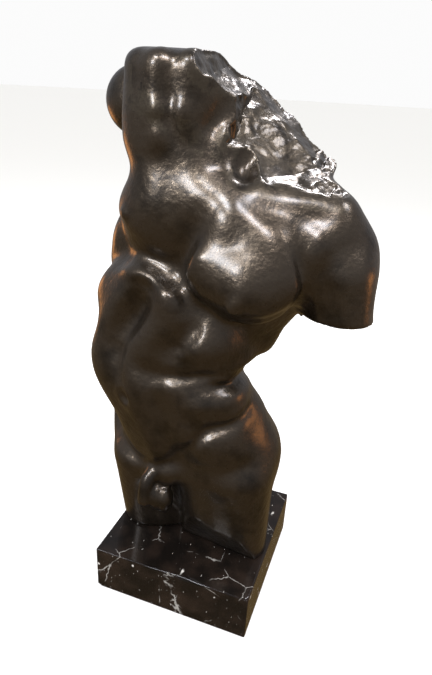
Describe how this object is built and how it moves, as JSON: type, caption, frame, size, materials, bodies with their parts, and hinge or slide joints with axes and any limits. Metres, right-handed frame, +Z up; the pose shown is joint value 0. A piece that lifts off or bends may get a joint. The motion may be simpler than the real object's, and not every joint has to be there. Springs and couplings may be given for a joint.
{
  "type": "bronze torso sculpture",
  "caption": "Twisting headless male torso in dark patinated bronze, one arm stump raised, cut at the thighs, on a square polished black marble plinth.",
  "frame": {"origin": "centre of the plinth's underside", "axes": "+Z up, -Y towards the front of the figure, +X towards the figure's left"},
  "size_m": [0.2673, 0.1678, 0.5031],
  "materials": {
    "bronze": "cast bronze with a dark brown waxed patina",
    "marble": "polished black marble with white flecks and thin veins"
  },
  "bodies": {
    "root": {"torso": "bronze", "plinth": "marble"}
  },
  "joints": []
}
